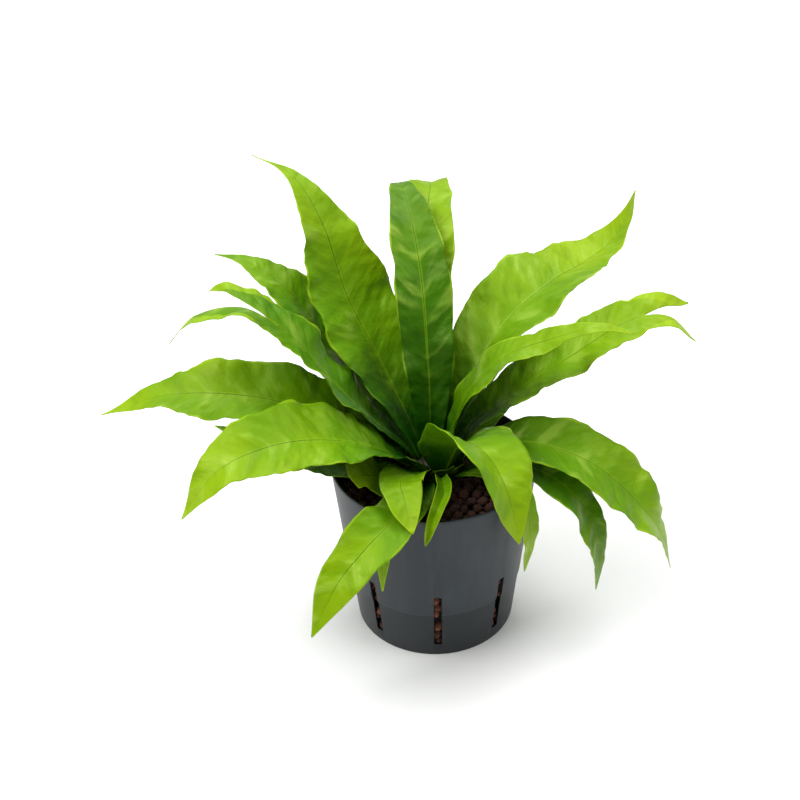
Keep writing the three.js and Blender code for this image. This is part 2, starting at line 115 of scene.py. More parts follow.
class Finish:
    """A material in the making, on one Principled shader."""

    def __init__(self, name, **constants):
        self.material = bpy.data.materials.new(name)
        self.material.use_nodes = True
        self.tree = self.material.node_tree
        self.shader = self.tree.nodes["Principled BSDF"]
        for socket, value in constants.items():
            self.shader.inputs[socket.replace("_", " ")].default_value = value

    def node(self, kind, settings, sockets, output=0):
        made = self.tree.nodes.new(kind)
        for setting, value in settings.items():
            setattr(made, setting, value)
        for socket, value in sockets.items():
            self.feed(made.inputs[socket], value)
        return Wire(self, made.outputs[output])

    def feed(self, socket, value):
        if isinstance(value, Wire):
            self.tree.links.new(value.socket, socket)
        else:
            socket.default_value = value

    def place(self, scale=(1, 1, 1)):
        coordinates = self.node("ShaderNodeTexCoord", {}, {}, "Object")
        return self.node("ShaderNodeMapping", {}, {"Vector": coordinates, "Scale": scale})

    def noise(self, place, scale, detail=2):
        return self.node(
            "ShaderNodeTexNoise", {}, {"Vector": place, "Scale": scale, "Detail": detail}, "Fac"
        )

    def part(self, vector, axis):
        return self.node("ShaderNodeSeparateXYZ", {}, {0: vector}, axis)

    def ease(self, value, start, end, low=0, high=1):
        return self.node(
            "ShaderNodeMapRange",
            {"interpolation_type": "SMOOTHSTEP"},
            {"Value": value, "From Min": start, "From Max": end, "To Min": low, "To Max": high},
        )

    def blend(self, share, first, second):
        return self.node(
            "ShaderNodeMix", {"data_type": "RGBA"}, {0: share, 6: first, 7: second}, 2
        )

    def bump(self, height, distance, strength):
        return self.node(
            "ShaderNodeBump", {}, {"Height": height, "Distance": distance, "Strength": strength}
        )

    def wear(self, **sockets):
        for socket, value in sockets.items():
            self.feed(self.shader.inputs[socket.replace("_", " ")], value)
        return self.material


def hand_over(piece, slot, *nodes):
    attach(piece, "root")
    if nodes:
        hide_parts(*nodes)


def apply_modifier(piece, kind, **settings):
    clear_selection()
    piece.select_set(True)
    bpy.context.view_layer.objects.active = piece
    modifier = piece.modifiers.new(kind.title(), kind)
    for setting, value in settings.items():
        setattr(modifier, setting, value)
    bpy.ops.object.modifier_apply(modifier=modifier.name)


def raise_wall(profile):
    """A cylinder whose top face is drawn up, over and down again through [radius, height] rings."""
    first_radius, first_height = profile[0]
    start_radius, start_height = profile[1]
    bpy.ops.mesh.primitive_cylinder_add(
        vertices=POT_SIDES, radius=first_radius * MM, depth=(start_height - first_height) * MM,
        location=(0, 0, (start_height + first_height) / 2 * MM),
    )
    wall = bpy.context.object
    bpy.ops.object.transform_apply(location=True)
    bpy.ops.object.mode_set(mode="EDIT")
    bpy.ops.mesh.select_mode(type="FACE")
    bpy.ops.mesh.select_all(action="DESELECT")
    mesh = bmesh.from_edit_mesh(wall.data)
    top = max(mesh.faces, key=lambda face: face.calc_center_median().z)
    top.select = True
    bmesh.update_edit_mesh(wall.data)
    radius, height = start_radius, start_height
    scale = start_radius / first_radius
    bpy.ops.transform.resize(value=(scale, scale, 1))
    for next_radius, next_height in profile[2:]:
        scale = next_radius / radius
        bpy.ops.mesh.extrude_region_move(
            TRANSFORM_OT_translate={"value": (0, 0, (next_height - height) * MM)}
        )
        bpy.ops.transform.resize(value=(scale, scale, 1))
        radius, height = next_radius, next_height
    bpy.ops.object.mode_set(mode="OBJECT")
    return wall


def inner_radius(height):
    return pot_radius(height) - POT_WALL


clear_selection()
lip_inner = POT_TOP_RADIUS - POT_WALL
pot = raise_wall([
    (POT_BASE_RADIUS - BAND_STEP - FOOT_ROUND, 0),
    (POT_BASE_RADIUS - BAND_STEP - FOOT_ROUND * 0.3, FOOT_ROUND * 0.3),
    (POT_BASE_RADIUS - BAND_STEP, FOOT_ROUND),
    (pot_radius(BAND_HEIGHT - BAND_EDGE) - BAND_STEP, BAND_HEIGHT - BAND_EDGE),
    (pot_radius(BAND_HEIGHT) - BAND_STEP * 0.8, BAND_HEIGHT),
    (pot_radius(BAND_HEIGHT + BAND_STEP) - BAND_STEP * 0.2, BAND_HEIGHT + BAND_STEP),
    (pot_radius(BAND_HEIGHT + BAND_BLEND), BAND_HEIGHT + BAND_BLEND),
    (pot_radius(POT_HEIGHT - LIP_DEPTH), POT_HEIGHT - LIP_DEPTH),
    (POT_TOP_RADIUS, POT_HEIGHT - LIP_ROUND),
    (POT_TOP_RADIUS - LIP_ROUND * 0.3, POT_HEIGHT - LIP_ROUND * 0.3),
    (POT_TOP_RADIUS - LIP_ROUND, POT_HEIGHT),
    (lip_inner + LIP_ROUND, POT_HEIGHT),
    (lip_inner + LIP_ROUND * 0.3, POT_HEIGHT - LIP_ROUND * 0.3),
    (lip_inner, POT_HEIGHT - LIP_ROUND),
    (inner_radius(POT_FLOOR + FLOOR_ROUND), POT_FLOOR + FLOOR_ROUND),
    (inner_radius(POT_FLOOR) - FLOOR_ROUND, POT_FLOOR),
])
pot.name = "pot_shell"

cutters = []
for number in range(SLOT_COUNT):
    turn = 2 * math.pi * number / SLOT_COUNT
    bpy.ops.mesh.primitive_cube_add(
        size=1,
        location=(POT_BASE_RADIUS * math.cos(turn) * MM, POT_BASE_RADIUS * math.sin(turn) * MM,
                  (SLOT_TOP + SLOT_BOTTOM) / 2 * MM),
        rotation=(0, 0, turn),
        scale=(SLOT_CUT * MM, SLOT_WIDTH * MM, (SLOT_TOP - SLOT_BOTTOM) * MM),
    )
    cutters.append(bpy.context.object)
clear_selection()
for cutter in cutters:
    cutter.select_set(True)
bpy.context.view_layer.objects.active = cutters[0]
bpy.ops.object.join()
slot_cutter = cutters[0]
bpy.ops.object.transform_apply(location=True, rotation=True, scale=True)
apply_modifier(slot_cutter, "BEVEL", width=SLOT_ROUND * MM, segments=3, limit_method="ANGLE")
apply_modifier(pot, "BOOLEAN", operation="DIFFERENCE", object=slot_cutter, solver="EXACT")
bpy.data.objects.remove(slot_cutter)
clear_selection()
pot.select_set(True)
bpy.context.view_layer.objects.active = pot
bpy.ops.object.shade_smooth_by_angle(angle=SMOOTH_ANGLE)

plastic = Finish("pot_plastic", IOR=1.46, Specular_IOR_Level=0.35)
height = plastic.part(plastic.place(), "Z")
streaks = plastic.noise(plastic.place((1, 1, 0.03)), 240, 3)
cloud = plastic.noise(plastic.place(), 28, 4)
grain = plastic.noise(plastic.place(), 1400, 2)
scuffs = plastic.ease(plastic.noise(plastic.place((1, 1, 0.35)), 420, 4), 0.62, 0.74)
dust = plastic.ease(streaks, 0.42, 0.7) * 0.16 + plastic.ease(cloud, 0.45, 0.75) * 0.3
upper = plastic.blend(dust + scuffs * 0.25, POT_GREY, POT_DUST_AND_HIGHLIGHT)
foot = plastic.ease(height, (BAND_HEIGHT + 1.2) * MM, (BAND_HEIGHT - 0.4) * MM)
# A pale line just above the band's step is a painted highlight along its edge, in the dust colour.
step_highlight = plastic.ease(abs(height - (BAND_HEIGHT + 1) * MM), 1.1 * MM, 0)
body = plastic.blend(foot, upper, POT_FOOT_GREY)
rough = 0.36 + 0.16 * cloud + 0.12 * scuffs
pot_finish = plastic.wear(
    Base_Color=plastic.blend(step_highlight * 0.3, body, POT_DUST_AND_HIGHLIGHT),
    Roughness=rough,
    Normal=plastic.bump(streaks * 0.6 + grain * 0.25, 0.12 * MM, 0.5),
)
pot.data.materials.append(pot_finish)
hand_over(pot, "pot", "pot")


# The expanded clay fill.
# Hydroculture plants stand in loose round pebbles of fired clay, reddish brown, porous and
# dull, 6 to 9 mm across. They are heaped a finger's width below the lip, and a few show
# through the water slots. Under the top layers the fill is one shaded mass.
CLEARANCE = 0.3
PEBBLE_PITCH = 7.3
PEBBLE_RADIUS = 3.9
PEBBLE_DIVISIONS = 2
PEBBLE_SIZES = (0.82, 1.1)
PEBBLE_JITTER = 0.9
PEBBLE_SEED = 11
SLOT_PEBBLE_SIZES = (0.8, 1.0)
SLOT_PEBBLE_PITCH = 7.4
SLOT_PEBBLE_ASIDE = 2.4
SLOT_PEBBLE_GAPS = 0.12
TOP_LAYER = 103.6
LOWER_LAYER = 98.2
CORE_TOP = 97
CORE_SIDES = 64
CORE_BEVEL = 1.5
CORE_INSET = 1.6
CROWN_RADIUS = 18.5
# The red is the clay darkened as painted shade; the pale is the clay's colour where it is lit.
CLAY_SHADED_RED = (0.052, 0.015, 0.007, 1)
CLAY_PALE = (0.250, 0.085, 0.040, 1)
CLAY_DARK = (0.014, 0.005, 0.003, 1)
CLAY_BLACK = (0.01, 0.005, 0.004, 1)


def core_radius(height):
    return inner_radius(height) - CLEARANCE - 2 * PEBBLE_RADIUS + CORE_INSET


clear_selection()
bpy.ops.mesh.primitive_cylinder_add(
    vertices=CORE_SIDES, radius=core_radius(POT_FLOOR + 1) * MM,
    depth=(CORE_TOP - POT_FLOOR - CLEARANCE) * MM,
    location=(0, 0, (CORE_TOP + POT_FLOOR + CLEARANCE) / 2 * MM),
)
core = bpy.context.object
core.name = "clay_core"
bpy.ops.object.transform_apply(location=True)
bpy.ops.object.mode_set(mode="EDIT")
bpy.ops.mesh.select_mode(type="FACE")
bpy.ops.mesh.select_all(action="DESELECT")
core_mesh = bmesh.from_edit_mesh(core.data)
core_lid = max(core_mesh.faces, key=lambda face: face.calc_center_median().z)
core_lid.select = True
bmesh.update_edit_mesh(core.data)
widen = (inner_radius(CORE_TOP) - CLEARANCE) / core_radius(POT_FLOOR + 1)
bpy.ops.transform.resize(value=(widen, widen, 1))
bpy.ops.mesh.bevel(offset=CORE_BEVEL * MM, segments=2)
bpy.ops.object.mode_set(mode="OBJECT")
bpy.ops.object.shade_smooth_by_angle(angle=SMOOTH_ANGLE)

bpy.ops.mesh.primitive_ico_sphere_add(subdivisions=PEBBLE_DIVISIONS, radius=1)
pebble_form = bpy.context.object
pebble_points = np.array([vertex.co for vertex in pebble_form.data.vertices])
pebble_faces = np.array([face.vertices for face in pebble_form.data.polygons])
bpy.data.objects.remove(pebble_form)

pebble_random = random.Random(PEBBLE_SEED)


def pebble(x, y, z, radius):
    """One pebble's points: a ball pressed and dented by chance, turned at random."""
    squash = Vector((pebble_random.uniform(0.9, 1.1), pebble_random.uniform(0.82, 1.02),
                     pebble_random.uniform(0.72, 0.92)))
    turn = Euler([pebble_random.uniform(0, math.tau) for _ in range(3)]).to_matrix()
    dents = np.array([pebble_random.uniform(0.9, 1.05) for _ in pebble_points])
    points = pebble_points * dents[:, None] * np.array(squash) * radius
    return (points @ np.array(turn).T + (x, y, z)) * MM


pebbles, pebble_light_and_tone = [], []
row_step = PEBBLE_PITCH * math.sqrt(3) / 2
reach = math.ceil(POT_TOP_RADIUS / row_step) + 1
for layer_height, layer_shift in ((TOP_LAYER, 0), (LOWER_LAYER, PEBBLE_PITCH / 2)):
    for row in range(-reach, reach + 1):
        for column in range(-reach, reach + 1):
            x = (column + 0.5 * (row % 2)) * PEBBLE_PITCH + layer_shift
            y = row * row_step + layer_shift * 0.6
            x += pebble_random.uniform(-PEBBLE_JITTER, PEBBLE_JITTER)
            y += pebble_random.uniform(-PEBBLE_JITTER, PEBBLE_JITTER)
            radius = PEBBLE_RADIUS * pebble_random.uniform(*PEBBLE_SIZES)
            z = layer_height + pebble_random.uniform(-1.2, 1.0)
            away = math.hypot(x, y)
            if CROWN_RADIUS - 1 < away < inner_radius(z) - radius * 0.9:
                pebbles.append(pebble(x, y, z, radius))
                # Top-layer pebbles take low values: darker, painted shade under the fronds, with a
                # chance spread.
                pebble_light_and_tone.append(pebble_random.uniform(0, 0.45))
for number in range(SLOT_COUNT):
    turn = math.tau * number / SLOT_COUNT
    z = SLOT_BOTTOM + 1
    while z < SLOT_TOP + 4:
        radius = PEBBLE_RADIUS * pebble_random.uniform(*SLOT_PEBBLE_SIZES)
        away = inner_radius(z) - radius * 1.05
        aside = pebble_random.uniform(-SLOT_PEBBLE_ASIDE, SLOT_PEBBLE_ASIDE)
        beside = aside - math.copysign(SLOT_PEBBLE_PITCH, aside)
        for sideways in (aside, beside):
            x = away * math.cos(turn) - sideways * math.sin(turn)
            y = away * math.sin(turn) + sideways * math.cos(turn)
            if pebble_random.random() > SLOT_PEBBLE_GAPS:
                pebbles.append(pebble(x, y, z, radius))
                # Pebbles behind the slots take high values: paler, painted light where they are lit
                # through the slots.
                pebble_light_and_tone.append(pebble_random.uniform(0.3, 1))
        z += radius * 1.75
face_sets = [pebble_faces + len(pebble_points) * number for number in range(len(pebbles))]
pebble_mesh = bpy.data.meshes.new("clay_pebbles")
pebble_mesh.from_pydata(np.concatenate(pebbles).tolist(), [], np.concatenate(face_sets).tolist())
clay = bpy.data.objects.new("clay_pebbles", pebble_mesh)
bpy.context.scene.collection.objects.link(clay)
# Each pebble's value sets its painted light and shade, with a chance spread of tone.
light_and_tone_layer = pebble_mesh.attributes.new("pebble", "FLOAT", "POINT")
light_and_tone_values = np.repeat(pebble_light_and_tone, len(pebble_points))
light_and_tone_layer.data.foreach_set("value", light_and_tone_values.astype(np.float32))
pebble_mesh.shade_smooth()


def fired_clay(name, red, pale, dark):
    baked = Finish(name, IOR=1.5)
    place = baked.place()
    light_and_tone = baked.node("ShaderNodeAttribute", {"attribute_name": "pebble"}, {}, "Fac")
    mottle = baked.noise(place, 260, 4)
    pores = baked.ease(baked.noise(place, 1500, 3), 0.36, 0.5)
    # From the shaded red to the pale clay by the pebble's value: painted shade and light, with a
    # chance spread.
    skin = baked.blend(baked.ease(light_and_tone, 0.25, 1), red, pale)
    skin = baked.blend(baked.ease(mottle, 0.45, 0.8) * 0.6, skin, dark)
    skin = baked.blend((1 - pores) * 0.7, skin, dark)
    return baked.wear(
        Base_Color=skin,
        Roughness=0.82 + 0.12 * mottle,
        Normal=baked.bump(pores * 0.7 + mottle, 0.5 * MM, 0.8),
    )


pebble_finish = fired_clay("fired_clay", CLAY_SHADED_RED, CLAY_PALE, CLAY_DARK)
# The core wears only the darkest clay colours: painted shade deep under the pebbles.
core_finish = fired_clay("shaded_clay", CLAY_DARK, CLAY_DARK, CLAY_BLACK)
clay.data.materials.append(pebble_finish)
core.data.materials.append(core_finish)
hand_over(clay, "clay", "clay_granules")
hand_over(core, "clay")


# The crown.
# The fern's short upright rootstock. It is a fibrous knob wrapped in thin dark brown scales
# that point up and out, and every frond grows from it.
CROWN_FOOT = 96
CROWN_TOP = 121.5
SCALE_COUNT = 150
SCALE_LENGTH = 6.5
SCALE_WIDTH = 1.5
SCALE_LIFT = 38
CROWN_SEED = 5
CROWN_SHOULDER = 10
CROWN_LUMPS = 6
LUMP_HEIGHT = 0.05
GOLDEN_TURN = math.pi * (3 - math.sqrt(5))
FIBRE_BROWN = (0.022, 0.018, 0.006, 1)
FIBRE_PALE = (0.050, 0.042, 0.014, 1)
FIBRE_BLACK = (0.008, 0.007, 0.003, 1)

clear_selection()
bpy.ops.mesh.primitive_uv_sphere_add(segments=48, ring_count=24, radius=1)
crown = bpy.context.object
crown.name = "crown_rootstock"
crown_random = random.Random(CROWN_SEED)
bumps = [(crown_random.uniform(2, 7), crown_random.uniform(2, 7), crown_random.uniform(0, 6))
         for _ in range(CROWN_LUMPS)]


def crown_knob(x, y, z):
    """Unit ball to knob: straight sides below, a dome above, lumpy all over."""
    turn = math.atan2(y, x)
    lump = sum(math.sin(a * turn + p) * math.sin(b * z + p) for a, b, p in bumps) / len(bumps)
    width = CROWN_RADIUS * (math.sqrt(max(0, 1 - z ** 2)) if z > 0 else (1 - z ** 8) ** 0.25)
    ring = max(1e-9, math.hypot(x, y))
    width *= 1 + LUMP_HEIGHT * lump if ring > 1e-6 else 0
    middle = CROWN_FOOT + CROWN_SHOULDER
    rise = (CROWN_TOP - middle) * z if z > 0 else (middle - CROWN_FOOT) * z
    return Vector((x / ring * width, y / ring * width, middle + rise)) * MM


for vertex in crown.data.vertices:
    vertex.co = crown_knob(*vertex.co)
crown.data.shade_smooth()

scale_points, scale_faces = [], []
for number in range(SCALE_COUNT):
    share = (number + 0.5) / SCALE_COUNT
    z = 1 - 0.98 * share
    ring = math.sqrt(1 - z * z)
    turn = number * GOLDEN_TURN
    foot = crown_knob(ring * math.cos(turn), ring * math.sin(turn), z)
    outward = Vector((math.cos(turn), math.sin(turn), 0))
    lift = math.radians(SCALE_LIFT + 42 * z + crown_random.uniform(-12, 12))
    axis = outward * math.cos(lift) + Vector((0, 0, math.sin(lift)))
    across = Vector((0, 0, 1)).cross(outward)
    above = axis.cross(across)
    length = SCALE_LENGTH * crown_random.uniform(0.7, 1.2) * MM
    width = SCALE_WIDTH * crown_random.uniform(0.8, 1.2) * MM
    start = len(scale_points)
    for along, half, thick in ((-0.15, 0.5, 0.16), (0.35, 0.5, 0.12), (0.75, 0.28, 0.08)):
        centre = foot + axis * length * along - above * length * 0.12 * along ** 2
        scale_points += [centre - across * width * half, centre + above * width * thick,
                         centre + across * width * half, centre - above * width * thick]
    scale_points.append(foot + axis * length - above * length * 0.12)
    tip = len(scale_points) - 1
    for ring_start in (start, start + 4):
        for side in range(4):
            after = (side + 1) % 4
            scale_faces.append((ring_start + side, ring_start + side + 4,
                                ring_start + after + 4, ring_start + after))
    for side in range(4):
        scale_faces.append((start + 8 + side, tip, start + 8 + (side + 1) % 4))
    scale_faces.append((start, start + 1, start + 2, start + 3))
scale_mesh = bpy.data.meshes.new("crown_scales")
scale_mesh.from_pydata([tuple(point) for point in scale_points], [], scale_faces)
scales = bpy.data.objects.new("crown_scales", scale_mesh)
bpy.context.scene.collection.objects.link(scales)
clear_selection()
scales.select_set(True)
bpy.context.view_layer.objects.active = scales
bpy.ops.object.mode_set(mode="EDIT")
bpy.ops.mesh.select_all(action="SELECT")
bpy.ops.mesh.normals_make_consistent(inside=False)
bpy.ops.object.mode_set(mode="OBJECT")
bpy.ops.object.shade_smooth_by_angle(angle=math.radians(40))

fibre = Finish("rootstock_fibre", IOR=1.45)
strands = fibre.noise(fibre.place((1, 1, 0.15)), 1300, 3)
patches = fibre.noise(fibre.place(), 150, 3)
coat = fibre.blend(fibre.ease(strands, 0.4, 0.7), FIBRE_BROWN, FIBRE_PALE)
coat = fibre.blend(fibre.ease(patches, 0.45, 0.7), coat, FIBRE_BLACK)
fibre_finish = fibre.wear(
    Base_Color=coat,
    Roughness=0.62 + 0.25 * patches,
    Normal=fibre.bump(strands, 0.4 * MM, 0.7),
)
crown.data.materials.append(fibre_finish)
scales.data.materials.append(fibre_finish)
hand_over(crown, "crown", "crown")
hand_over(scales, "crown")


# The fronds.
# Each frond is one undivided strap blade on a short stalk, glossy and leathery, with a
# grooved midrib above and a brown keel below. Fine parallel veins run out to a thin, waved
# margin, and two blades are forked at the tip. A frond leaves the crown on its heading, and
# its route gives the midrib's points as (reach, height, drift to the left) in millimetres.
# width is the blade's greatest width and widest how far along it lies. spring is how slowly
# it widens and taper how fast it thins. tilt and fold are degrees at the root, halfway and
# at the tip, and ruffle is the margin's wave: height, number of waves and phase in degrees.
FRONDS = (
    dict(
        name="tall_left", tone=1, heading=134,
        route=((8, 119, 3), (22, 141, 2), (48, 173, 0), (76, 210, 0), (93, 250, 0),
               (118, 275, 0), (157, 277, 0)),
        width=61, widest=0.42, spring=0.9, taper=2.5,
        tilt=(12, -6, 15), fold=(30, 14, 4), ruffle=(1.8, 4, 20),
        clasp=20,
    ),
    dict(
        name="back_left", tone=0, heading=152,
        route=((13, 115, 0), (30, 132, 0), (48, 153, 0), (66, 179, 0), (98, 215, 0),
               (126, 230, 0), (151, 230, 0)),
        width=42, widest=0.55, spring=1.3, taper=1.5,
        tilt=(6, 0, 5), fold=(30, 12, 6), ruffle=(1.6, 4, 60),
    ),
    dict(
        name="forked_left", tone=0, heading=178,
        route=((10, 118, 0), (24, 134, 1), (42, 153, 1), (62, 179, 1), (86, 212, 0),
               (112, 231, 0), (138, 228, 0), (156, 207, 0)),
        width=38, widest=0.5, spring=1.3, taper=1.1,
        tilt=(6, -2, 5), fold=(30, 14, 6), ruffle=(1.5, 4, 40),
        fork=dict(at=0.62, ends=(1, 0.84), spread=(2, 8)),
    ),
    dict(
        name="wide_left", tone=1, heading=182,
        route=((15, 112, 0), (36, 130, 0), (66, 155, 0), (111, 172, 0), (160, 176, 0),
               (202, 164, 0)),
        width=54, widest=0.5, spring=1.1, taper=1.4,
        tilt=(6, -16, 5), fold=(30, 14, 8), ruffle=(2.2, 4, 250),
    ),
    dict(
        name="front_left", tone=1, heading=211,
        route=((13, 115, 0), (34, 136, 0), (60, 155, 0), (104, 172, 0), (145, 170, 0),
               (171, 146, 0)),
        width=52, widest=0.5, spring=1.2, taper=1.1,
        tilt=(14, -19, 5), fold=(30, 16, 8), ruffle=(1.4, 4, 0),
        clasp=20,
    ),
    dict(
        name="under_left", tone=0, heading=193,
        route=((17, 112, 3), (35, 117, 2), (62, 125, 0), (100, 145, 0), (134, 170, 0)),
        width=34, widest=0.55, spring=1, taper=1.1,
        tilt=(0, -5, 0), fold=(30, 14, 6), ruffle=(1.4, 3, 90),
    ),
    dict(
        name="crested_left", tone=1, heading=216,
        route=((16, 112, 2), (32, 121, 1), (48, 128, 0), (64, 135, -1)),
        width=27, widest=0.75, spring=1.2, taper=0.5,
        tilt=(0, -20, -25), fold=(30, 14, 0), ruffle=(1.6, 2, 0),
        scallop=(0.42, 3),
    ),
    dict(
        name="low_front", tone=1, heading=244,
        route=((15.5, 112, 2), (36, 122, 5), (66, 125, 8), (93, 120, 1), (116, 105, -9),
               (135, 76, -18)),
        width=34, widest=0.5, spring=0.8, taper=1.1,
        tilt=(0, -8, -10), fold=(25, 14, 8), ruffle=(1.3, 4, 120),
    ),
    dict(
        name="low_tip", tone=0, heading=247,
        route=((16.5, 111, -3), (40, 115, -4), (67, 123, -1), (80, 111, -1), (86, 80, 0)),
        width=13, widest=0.5, spring=1, taper=1.1,
        tilt=(0, 0, 0), fold=(20, 4, 4), ruffle=(0.4, 3, 0),
        skin="leaf_mid",
    ),
    dict(
        name="front_small", tone=0, heading=258,
        route=((12, 115, -2), (28, 125, -6), (44, 132, -12), (64, 135, -6), (85, 127, 3)),
        width=28, widest=0.5, spring=0.9, taper=1,
        tilt=(0, 0, 0), fold=(30, 18, 8), ruffle=(1, 3, 60),
        skin="leaf_light",
    ),
    dict(
        name="front_curl", tone=1, heading=272,
        route=((15.5, 112, 3), (33, 125, 3), (50, 129, 3), (62, 126, -2), (70, 119, -7),
               (74, 110, -10)),
        width=14, widest=0.55, spring=1, taper=0.9,
        tilt=(0, 0, 0), fold=(45, 50, 40), ruffle=(0.8, 4, 0),
    ),
    dict(
        name="front_right", tone=1, heading=300,
        route=((13.5, 114, 0), (20, 129, 0), (29, 145, 0), (43, 156, 0), (62, 157, 0),
               (80, 146, 0), (95, 116, 0)),
        width=54, widest=0.42, spring=0.7, taper=1.1,
        tilt=(0, -20, 0), fold=(30, 22, 10), ruffle=(1.5, 3, 30),
        clasp=20,
    ),
    dict(
        name="slim_right", tone=2, heading=314,
        route=((16, 111, 0), (34, 124, -1), (58, 132, -1), (74, 126, 0), (80, 106, 0),
               (77, 72, 0)),
        width=16, widest=0.55, spring=1, taper=1.1,
        tilt=(0, 0, 0), fold=(30, 16, 8), ruffle=(0.8, 4, 0),
    ),
    dict(
        name="low_right", tone=0, heading=335,
        route=((16, 112, 0), (36, 122, 0), (62, 129, 0), (84, 122, 1), (101, 104, 1),
               (110, 73, 0), (110, 48, 0)),
        width=28, widest=0.5, spring=1, taper=1.1,
        tilt=(0, 10, 10), fold=(30, 14, 8), ruffle=(1.2, 4, 0),
    ),
    dict(
        name="big_right", tone=1, heading=345,
        route=((13, 115, 0), (34, 131, 0), (60, 140, 0), (96, 132, 0), (124, 110, 0),
               (143, 85, 0), (152, 58, 0)),
        width=46, widest=0.6, spring=1.0, taper=1.1,
        tilt=(0, 16, -15), fold=(30, 16, 8), ruffle=(1.8, 3, 300),
    ),
    dict(
        name="arch_right", tone=2, heading=350,
        route=((6, 121, 0), (13, 142, 0), (24, 173, 0), (43, 197, 0), (72, 213, 0),
               (100, 223, 0), (119, 220, 0)),
        width=26, widest=0.4, spring=0.42, taper=1.1,
        tilt=(8, 12, 0), fold=(25, 10, 8), ruffle=(1, 4, 0),
        clasp=14,
    ),
    dict(
        name="forked_right", tone=2, heading=12,
        route=((11, 117, 0), (26, 139, 0), (48, 156, 0), (90, 183, -2), (120, 200, -2),
               (146, 204, -1), (164, 192, 0)),
        width=42, widest=0.55, spring=0.8, taper=1.1,
        tilt=(0, 5, 20), fold=(30, 16, 8), ruffle=(1.3, 4, 310),
        fork=dict(at=0.8, ends=(1, 1), spread=(8, 8)),
        clasp=14,
    ),
    dict(
        name="young_right", tone=0, heading=30,
        route=((15.5, 112, 0), (30, 122, 0), (46, 132, 0), (58, 138, 0)),
        width=14, widest=0.5, spring=1, taper=1.1,
        tilt=(0, 0, 0), fold=(30, 20, 10), ruffle=(0.6, 3, 0),
    ),
    dict(
        name="back_right", tone=2, heading=44,
        route=((9, 119, -2), (17, 146, -3), (34, 168, -2), (74, 192, 0), (112, 200, 0),
               (146, 201, 0), (167, 207, -2), (180, 221, -4), (187, 238, -4)),
        width=62, widest=0.5, spring=1.6, taper=1.2,
        tilt=(-8, 2, -28), fold=(25, 24, 6), ruffle=(1.8, 4, 290),
        clasp=18,
    ),
    dict(
        name="centre_light", tone=2, heading=88,
        route=((8, 120, 1), (16, 150, 1), (25, 176, 2), (36, 198, 4), (54, 218, 4),
               (84, 240, 3), (118, 248, 1), (144, 238, 0), (160, 216, 0)),
        width=36, widest=0.5, spring=1.9, taper=1,
        tilt=(0, 0, 0), fold=(20, 14, 10), ruffle=(1.4, 5, 0),
        clasp=14,
    ),
    dict(
        name="centre_dark", tone=0, heading=99,
        route=((4, 121, 2), (13, 160, 0), (28, 202, -1), (48, 229, -2), (78, 248, -2),
               (112, 254, -2), (140, 240, -2)),
        width=36, widest=0.45, spring=0.7, taper=1.2,
        tilt=(0, 0, 0), fold=(30, 14, 8), ruffle=(1.2, 4, 0),
        clasp=18,
        skin="leaf_shade",
    ),
    dict(
        name="rear_right", tone=0, heading=66,
        route=((15.5, 112, 0), (34, 133, 0), (58, 142, 0), (84, 134, 0), (102, 112, 0)),
        width=34, widest=0.5, spring=0.9, taper=1.1,
        tilt=(0, 0, 0), fold=(30, 16, 8), ruffle=(1.4, 4, 0),
    ),
    dict(
        name="rear", tone=1, heading=97,
        route=((15.5, 112, 0), (34, 120, 0), (62, 128, 0), (98, 120, 0), (120, 94, 0),
               (126, 66, 0)),
        width=38, widest=0.5, spring=0.9, taper=1.1,
        tilt=(0, 0, 0), fold=(30, 16, 8), ruffle=(1.5, 4, 180),
    ),
    dict(
        name="rear_left", tone=0, heading=123,
        route=((15.5, 112, 0), (34, 127, 0), (60, 137, 0), (90, 131, 0), (112, 110, 0)),
        width=36, widest=0.5, spring=0.9, taper=1.1,
        tilt=(0, 0, 0), fold=(30, 16, 8), ruffle=(1.6, 4, 90),
    ),
    dict(
        name="side_left", tone=0, heading=156,
        route=((16, 112, 0), (36, 123, 0), (60, 130, 0), (88, 125, 0), (106, 106, 0)),
        width=28, widest=0.5, spring=1.2, taper=1.1,
        tilt=(0, 0, 0), fold=(30, 16, 8), ruffle=(1.4, 3, 0),
    ),
)
BLADE_THICKNESS = 0.55
MARGIN_THICKNESS = 0.32
STALK_HALF_WIDTH = 2.2
TIP_HALF_WIDTH = 0.5
KEEL_DEPTH = 2.2
KEEL_HALF_WIDTH = 1.5
GROOVE_DEPTH = 0.35
GROOVE_HALF_WIDTH = 0.7
RIDGE_FADE = 1.5
WAVE_LIMIT = 1.2
WAVE_POWER = 1.5
WAVE_SHIFT = 2.1
LOBE_TAPER = 0.9
LOBE_CURVE = 1.4
BLADE_COLUMNS = 26
BLADE_ROW = 2.4
PATH_STEPS = 60
FROND_SEED = 3
SWELL_HEIGHT = 1.8
PUCKER_HEIGHT = 0.5
FRILL_HEIGHT = 1.2
FULL_TURN = 6.3
SWELLS = ((0.45, 47, 1), (0.45, 31, 1.8), (0.25, 19, 2.6))
SWELL_CURVE = 0.04
PUCKERS = ((13, 1.4), (9.1, 2.3))
PUCKER_WIDTH = 17
PUCKER_CURVE = 0.05
FRILLS = ((0.6, 41), (0.4, 23))
SIDE_SHIFT = 1.7
VEIN_SLANT = 0.5
MARGIN_WANDER = 0.05
WANDER_PERIOD = 43
WANDER_SECOND = 43 / 25
CLASP_REACH = 26
CLASP_FADE = 16


def along(three, s):
    """A value given at the root, halfway and at the tip, as a smooth curve along the frond."""
    root, middle, tip = three
    return root * (1 - s) * (1 - 2 * s) + 4 * middle * s * (1 - s) + tip * s * (2 * s - 1)


